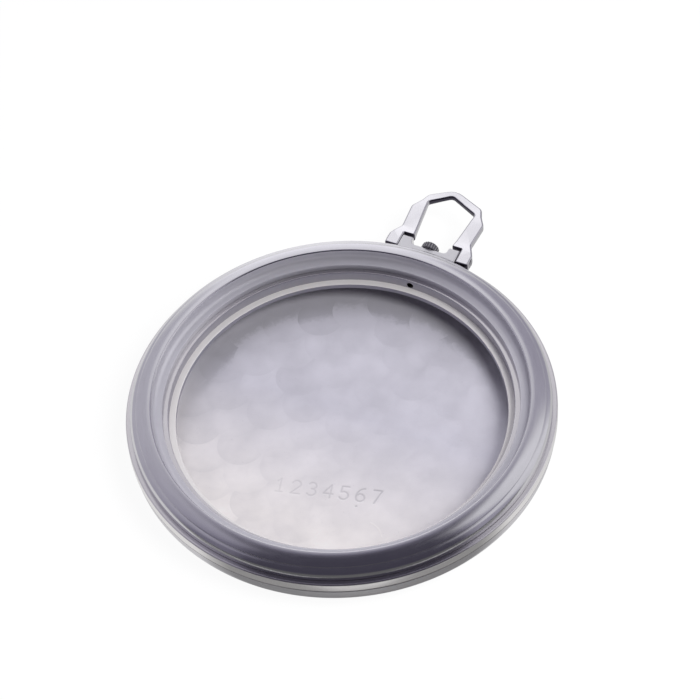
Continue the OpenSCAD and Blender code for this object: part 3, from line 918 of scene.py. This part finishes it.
def floor_steel():
    """Satin inside of the back, with overlapping round polishing spots and stamped grooves."""
    material, tree, shader = steel("satin_floor", roughness=0.45, anisotropy=0.3, metallic=0.65)
    place = object_place(tree)
    radial, chance = spots(tree, place)
    rim = span(tree, measure(tree, "LENGTH", radial), SPOT_R * 0.72, SPOT_R)
    blotch = noise(tree, place, 0.22, 4, 0.6)
    speck = span(tree, noise(tree, place, 4.0, 2), 0.68, 0.78)
    # The depth of the stamped grooves in the mesh, which is negative on a burr
    groove = put(tree, "ShaderNodeAttribute", attribute_name="groove").outputs["Fac"]
    axes = put(tree, "ShaderNodeSeparateXYZ", {0: place})
    # Painted light, with some real wear: lighter and warmer towards the number, where the near walls
    # reflect light onto the floor
    lit_towards_number = span(tree, axes.outputs["Y"], LIT_FROM, LIT_TO)
    sharper = span(tree, axes.outputs["X"], SHARP_FROM, SHARP_TO)
    colour = blend(tree, lit_towards_number, grey(FLOOR_SHADED, LAVENDER), grey(FLOOR_LIT, WARM))
    colour = stain(tree, colour, span(tree, blotch, 0.35, 0.65), CLOUD_TONE)
    colour = stain(tree, colour, calc(tree, "MULTIPLY", chance, sharper), SPOT_TONE)
    colour = stain(tree, colour, calc(tree, "MULTIPLY", rim, sharper), SPOT_RIM_TONE)
    colour = stain(tree, colour, speck, SPECK_TONE)
    # Painted shade at the floor's edge under the far wall
    colour = stain(tree, colour, painted_edge_shade(tree, place, chance), EDGE_SHADE_TONE)
    colour = stain(tree, colour, groove, GROOVE_TONE)
    colour = stain(tree, colour, groove, BURR_TONE, WARM)
    tree.links.new(colour, shader.inputs["Base Color"])
    rough = calc(tree, "ADD", calc(tree, "MULTIPLY", blotch, FLOOR_CLOUD_ROUGH),
                 calc(tree, "MULTIPLY", chance, SPOT_ROUGH))
    tree.links.new(calc(tree, "ADD", rough, FLOOR_ROUGH), shader.inputs["Roughness"])
    tangent = put(tree, "ShaderNodeVectorTransform", {0: radial}, vector_type="VECTOR",
                  convert_from="OBJECT", convert_to="WORLD").outputs[0]
    tree.links.new(vector(tree, "NORMALIZE", tangent), shader.inputs["Tangent"])
    return material


def cast_steel(name, colour, roughness, mottle, grain):
    """Satin or polished steel of the small parts, with mottling and fine scratches."""
    material, tree, shader = steel(name, roughness, 0.0)
    place = object_place(tree)
    cloud = noise(tree, place, 1.6, 4, 0.6)
    fine = noise(tree, place, 14.0, 3)
    shade = blend(tree, cloud, grey(1 - mottle, colour), grey(1 + mottle, colour))
    scratch = span(tree, fine, 0.55, 0.75)
    worn = blend(tree, calc(tree, "MULTIPLY", scratch, grain), shade, grey(0.7, colour))
    tree.links.new(worn, shader.inputs["Base Color"])
    roughen(tree, shader, roughness, fine, cloud)
    bump_by(tree, shader, fine, 0.3, 0.01)
    return material


# The camera, in millimetres and degrees, turned as the photograph was
AIM = Vector((-1.539, 6.185, 7.0))
CAMERA_AZ = 28.268
CAMERA_EL = 51.084
CAMERA_FAR = 310.31
CAMERA_ROLL = -5.341
LENS = 141.89
SENSOR = 36.0
# Level directions from the case: to the side that the camera is on, and to the right seen from there
TOWARD = Vector((sin(CAMERA_AZ), -cos(CAMERA_AZ), 0))
RIGHTWARD = Vector((0, 0, 1)).cross(TOWARD)
# The lamp and the table, in metres and watts
LAMP_AT = Vector((0.34, -0.06, 0.49))
LAMP_SIZE = 0.3
LAMP_POWER = 4.6
TABLE_HALF = 1.5


def make_camera():
    back = TOWARD * cos(CAMERA_EL) + Vector((0, 0, sin(CAMERA_EL)))
    right = Vector((cos(CAMERA_AZ), sin(CAMERA_AZ), 0))
    up = back.cross(right)
    right, up = (right * cos(CAMERA_ROLL) + up * sin(CAMERA_ROLL),
                 up * cos(CAMERA_ROLL) - right * sin(CAMERA_ROLL))
    data = bpy.data.cameras.new("camera")
    data.lens = LENS
    data.sensor_width = SENSOR
    data.clip_start = 0.01
    camera = bpy.data.objects.new("camera", data)
    place = Matrix((right, up, back)).transposed().to_4x4()
    place.translation = (AIM + back * CAMERA_FAR) * MM
    camera.matrix_world = place
    bpy.context.scene.collection.objects.link(camera)
    bpy.context.scene.camera = camera


# The studio, as metal sees it. Light by the angle from the horizon on the camera's side (0) over the
# zenith (0.5) to the far horizon (1)
SKY = [(0.0, 0.07), (0.52, 0.07), (0.58, 0.09), (0.62, 0.18), (0.66, 0.35), (0.69, 0.52),
       (0.72, 0.80), (0.745, 0.95), (0.86, 1.05), (0.95, 1.2), (1.0, 1.05)]
# Light from the left and the right, by how far the direction points to the camera's side (-1 to 1)
LEFT = [(-1.0, 1.1), (-0.96, 1.0), (-0.92, 0.72), (-0.84, 0.56), (-0.63, 0.57), (-0.40, 0.52),
        (-0.18, 0.46), (0.08, 0.36), (0.20, 0.22), (1.0, 0.20)]
RIGHT = [(-1.0, 1.1), (-0.96, 0.9), (-0.92, 0.45), (-0.84, 0.42), (-0.63, 0.42), (-0.52, 0.45),
         (-0.42, 0.70), (-0.35, 0.90), (-0.18, 0.84), (0.08, 0.80), (0.20, 0.42), (1.0, 0.36)]
# How far a direction points sideways where the side light starts and where it is full
SIDE_START = 0.15
SIDE_FULL = 0.28
# The dark part of the sky reaches further out on the camera's side: from, to, by how much
OUTWARD = [(-0.5, -0.1, 0.14), (0.0, 1.0, 0.70)]
# Dark parts of the studio are bluer, up to this level
SKY_TINT = Vector((0.99, 0.985, 1.03))
DARK_TINT = Vector((0.95, 0.88, 1.25))
LIGHT_LEVEL = 0.7
# The share of plain white in the table as the camera sees it. The rest takes light and shadow
FLOOR_GLOW = 0.94
# What the table shows to the metal on its left, middle and right, at the far side and the near side
SHINE_FAR = (0.84, 1.05, 0.68)
SHINE_NEAR = (0.82, 0.85, 0.80)
SHINE_REACH = 24.0
SHINE_TURN = (-5.0, 14.0)
# The table is darker to the metal in a strip under the near rim, and again further towards the camera
SHADE = 0.38
SHADE_IN = (17.0, 21.0)
SHADE_OUT = (26.7, 27.1)
PAST_LEVEL = 0.18
PAST = (28.0, 28.3)


def ramp(tree, value, stops):
    """A smooth ramp of light levels along a value from 0 to 1."""
    made = put(tree, "ShaderNodeValToRGB", {0: value})
    made.color_ramp.interpolation = "EASE"
    while len(made.color_ramp.elements) < len(stops):
        made.color_ramp.elements.new(0.5)
    for element, (at, level) in zip(made.color_ramp.elements, stops):
        element.position = at
        element.color = grey(level, DARK_TINT.lerp(SKY_TINT, min(1.0, level / LIGHT_LEVEL)))
    return made.outputs["Color"]


def make_world():
    """White to the camera, and the studio's light to everything else."""
    world = bpy.data.worlds.new("studio")
    bpy.context.scene.world = world
    world.use_nodes = True
    tree = world.node_tree
    tree.nodes.clear()
    where = put(tree, "ShaderNodeTexCoord").outputs["Generated"]
    ahead = measure(tree, "DOT_PRODUCT", where, TOWARD)
    side = measure(tree, "DOT_PRODUCT", where, RIGHTWARD)
    height = put(tree, "ShaderNodeSeparateXYZ", {0: where}).outputs["Z"]
    angle = calc(tree, "DIVIDE", calc(tree, "ARCTAN2", height, ahead), math.pi)
    along = calc(tree, "MULTIPLY_ADD", ahead, 0.5, 0.5)
    left = ramp(tree, along, [((at + 1) / 2, level) for at, level in LEFT])
    right = ramp(tree, along, [((at + 1) / 2, level) for at, level in RIGHT])
    sides = blend(tree, calc(tree, "GREATER_THAN", side, 0.0), left, right)
    outward = calc(tree, "ABSOLUTE", side)
    for start, end, amount in OUTWARD:
        outward = calc(tree, "SUBTRACT", outward, span(tree, ahead, start, end, 0.0, amount))
    sideways = span(tree, outward, SIDE_START, SIDE_FULL)
    sky = blend(tree, sideways, ramp(tree, angle, SKY), sides)
    light = put(tree, "ShaderNodeBackground", {"Color": sky, "Strength": 1.0}).outputs[0]
    white = put(tree, "ShaderNodeBackground", {"Color": (1, 1, 1, 1), "Strength": 1.0}).outputs[0]
    seen = put(tree, "ShaderNodeLightPath").outputs["Is Camera Ray"]
    both = put(tree, "ShaderNodeMixShader", {0: seen, 1: light, 2: white}).outputs[0]
    put(tree, "ShaderNodeOutputWorld", {"Surface": both})


def floor_shine(tree):
    """How bright the table looks in the metal, by the place on it."""
    place = object_place(tree)
    near = measure(tree, "DOT_PRODUCT", place, TOWARD)
    side = measure(tree, "DOT_PRODUCT", place, RIGHTWARD)
    levels = []
    for left, middle, right in (SHINE_FAR, SHINE_NEAR):
        levels.append(calc(tree, "MINIMUM", span(tree, side, -SHINE_REACH, 0.0, left, middle),
                           span(tree, side, 0.0, SHINE_REACH, middle, right)))
    level = mix(tree, span(tree, near, *SHINE_TURN), levels[0], levels[1])
    shade = calc(tree, "MAXIMUM", span(tree, near, *SHADE_IN, 1.0, SHADE),
                 span(tree, near, *SHADE_OUT, SHADE, 1.0))
    past = span(tree, near, *PAST, 1.0, PAST_LEVEL)
    return calc(tree, "MULTIPLY", calc(tree, "MULTIPLY", level, shade), past)


def make_floor():
    mesh = bmesh.new()
    bmesh.ops.create_grid(mesh, x_segments=1, y_segments=1, size=TABLE_HALF)
    data = bpy.data.meshes.new("table")
    mesh.to_mesh(data)
    mesh.free()
    table = bpy.data.objects.new("table", data)
    bpy.context.scene.collection.objects.link(table)
    material = bpy.data.materials.new("pale_table")
    material.use_nodes = True
    tree = material.node_tree
    tree.nodes.clear()
    path = put(tree, "ShaderNodeLightPath")
    seen = path.outputs["Is Camera Ray"]
    share = calc(tree, "MAXIMUM", calc(tree, "MULTIPLY", seen, FLOOR_GLOW),
                 path.outputs["Is Glossy Ray"])
    level = mix(tree, seen, floor_shine(tree), 1.0)
    matt = put(tree, "ShaderNodeBsdfDiffuse", {"Color": grey(0.9)}).outputs[0]
    glow = put(tree, "ShaderNodeEmission", {"Color": (1, 1, 1, 1), "Strength": level}).outputs[0]
    both = put(tree, "ShaderNodeMixShader", {0: share, 1: matt, 2: glow}).outputs[0]
    put(tree, "ShaderNodeOutputMaterial", {"Surface": both})
    data.materials.append(material)


def make_lamp():
    """A round softbox that points at the case and isn't mirrored in it."""
    data = bpy.data.lights.new("softbox", "AREA")
    data.shape = "DISK"
    data.size = LAMP_SIZE
    data.energy = LAMP_POWER
    lamp = bpy.data.objects.new("softbox", data)
    lamp.location = LAMP_AT
    lamp.rotation_euler = (-LAMP_AT).to_track_quat("-Z", "Y").to_euler()
    lamp.visible_glossy = False
    bpy.context.scene.collection.objects.link(lamp)


def dress(piece, material, picks):
    """Gives a material to the faces of a piece that a test picks out."""
    piece.data.materials.append(material)
    index = len(piece.data.materials) - 1
    for face in piece.data.polygons:
        if picks(face):
            face.material_index = index


def at_seam(face):
    """Picks the faces at the band's rounded foot, next to the seam to the back, which are painted dark.
    """
    strip = SEAM_ROUND + SUPPORT
    outer = face.center.xy.length > (BAND_R - strip) * MM
    return outer and BAND_FOOT * MM < face.center.z < (BAND_FOOT + strip) * MM


def between(low, high, rise=-1.0):
    """A test for the faces between two radii about the case's axis that face up enough."""
    return lambda face: low * MM < face.center.xy.length < high * MM and face.normal.z > rise


make_camera()
make_world()
make_floor()
make_lamp()

back_outside = turned_steel("brushed_back", (0.70, 0.685, 0.71),
                            roughness=0.30, anisotropy=0.5, marks=0.10, wear=0.25)
back_inside = floor_steel()
middle_look = turned_steel("turned_middle", (0.82, 0.80, 0.80),
                           roughness=0.20, anisotropy=0.2, marks=0.06, wear=0.15)
bezel_look = turned_steel("turned_bezel", (0.68, 0.67, 0.70),
                          roughness=0.20, anisotropy=0.2, marks=0.06, wear=0.15)
wall_look = turned_steel("dull_inner_wall", (0.65, 0.64, 0.68),
                         roughness=0.40, anisotropy=0.1, marks=0.06, wear=0.3, metallic=0.75)
# The pocket's walls are a darker copy of the middle's steel: painted shade in the recess
pocket_shade_look = turned_steel("pocket_wall_painted_shade", (0.44, 0.43, 0.48),
                           roughness=0.45, anisotropy=0.1, marks=0.06, wear=0.3, metallic=0.85)
# The ledge's upward face is painted lighter and warmer than the middle's steel as painted light; its
# rougher finish is its own
ledge_lit_look = turned_steel("ledge_painted_light", (0.88, 0.855, 0.83),
                          roughness=0.45, anisotropy=0.1, marks=0.05, wear=0.1, metallic=0.6)
# The strip at the band's foot next to the seam is painted dark
seam_look = cast_steel("dark_seam_strip", (0.24, 0.215, 0.235), roughness=0.4, mottle=0.1, grain=0.3)
# The collar's grooves are painted nearly black: painted shade in the grooves
collar_groove_shade_look = cast_steel("collar_grooves_painted_shade", (0.16, 0.155, 0.17), roughness=0.4, mottle=0.1, grain=0.3)
bridge_look = cast_steel("satin_bridge", (0.82, 0.815, 0.82), roughness=0.38, mottle=0.08, grain=0.3)
tube_look = cast_steel("dark_tube", (0.48, 0.47, 0.48), roughness=0.38, mottle=0.15, grain=0.4)
bow_look = cast_steel("polished_bow", (0.96, 0.95, 0.965), roughness=0.2, mottle=0.03, grain=0.1)
# The bow's rounded edges and sides are a darker copy of its polished steel: painted shade
bow_side_shade = cast_steel("bow_sides_painted_shade", (0.56, 0.55, 0.58), roughness=0.3, mottle=0.08, grain=0.2)
# The bow's faces towards the case are painted nearly black: painted shade standing in for the case's
# dark reflection
bow_case_side_shade = cast_steel("bow_inside_painted_shade", (0.06, 0.055, 0.075),
                        roughness=0.3, mottle=0.08, grain=0.2)
screw_look = cast_steel("turned_screw", (0.42, 0.41, 0.44), roughness=0.3, mottle=0.1, grain=0.3)

back = make_back(back_outside)
dress(back, back_inside, between(0, BACK_R - BACK_RIM - SNAP_GAP, 0.05))
middle = make_middle(middle_look)
dress(middle, pocket_shade_look, between(0, POCKET_R + SNAP_GAP))
dress(middle, ledge_lit_look, between(0, POCKET_R, 0.5))
dress(middle, seam_look, at_seam)
dress(make_bezel(bezel_look), wall_look, between(0, CRYSTAL_R + SNAP_GAP))
dress(make_tube(tube_look), collar_groove_shade_look, in_groove)
make_bridge(bridge_look)
make_bow(bow_look, bow_side_shade, bow_case_side_shade)
make_screw(-1, "screw_left", screw_look)
make_screw(1, "screw_right", screw_look)

bpy.context.scene.view_settings.view_transform = "Standard"
bpy.context.view_layer.update()
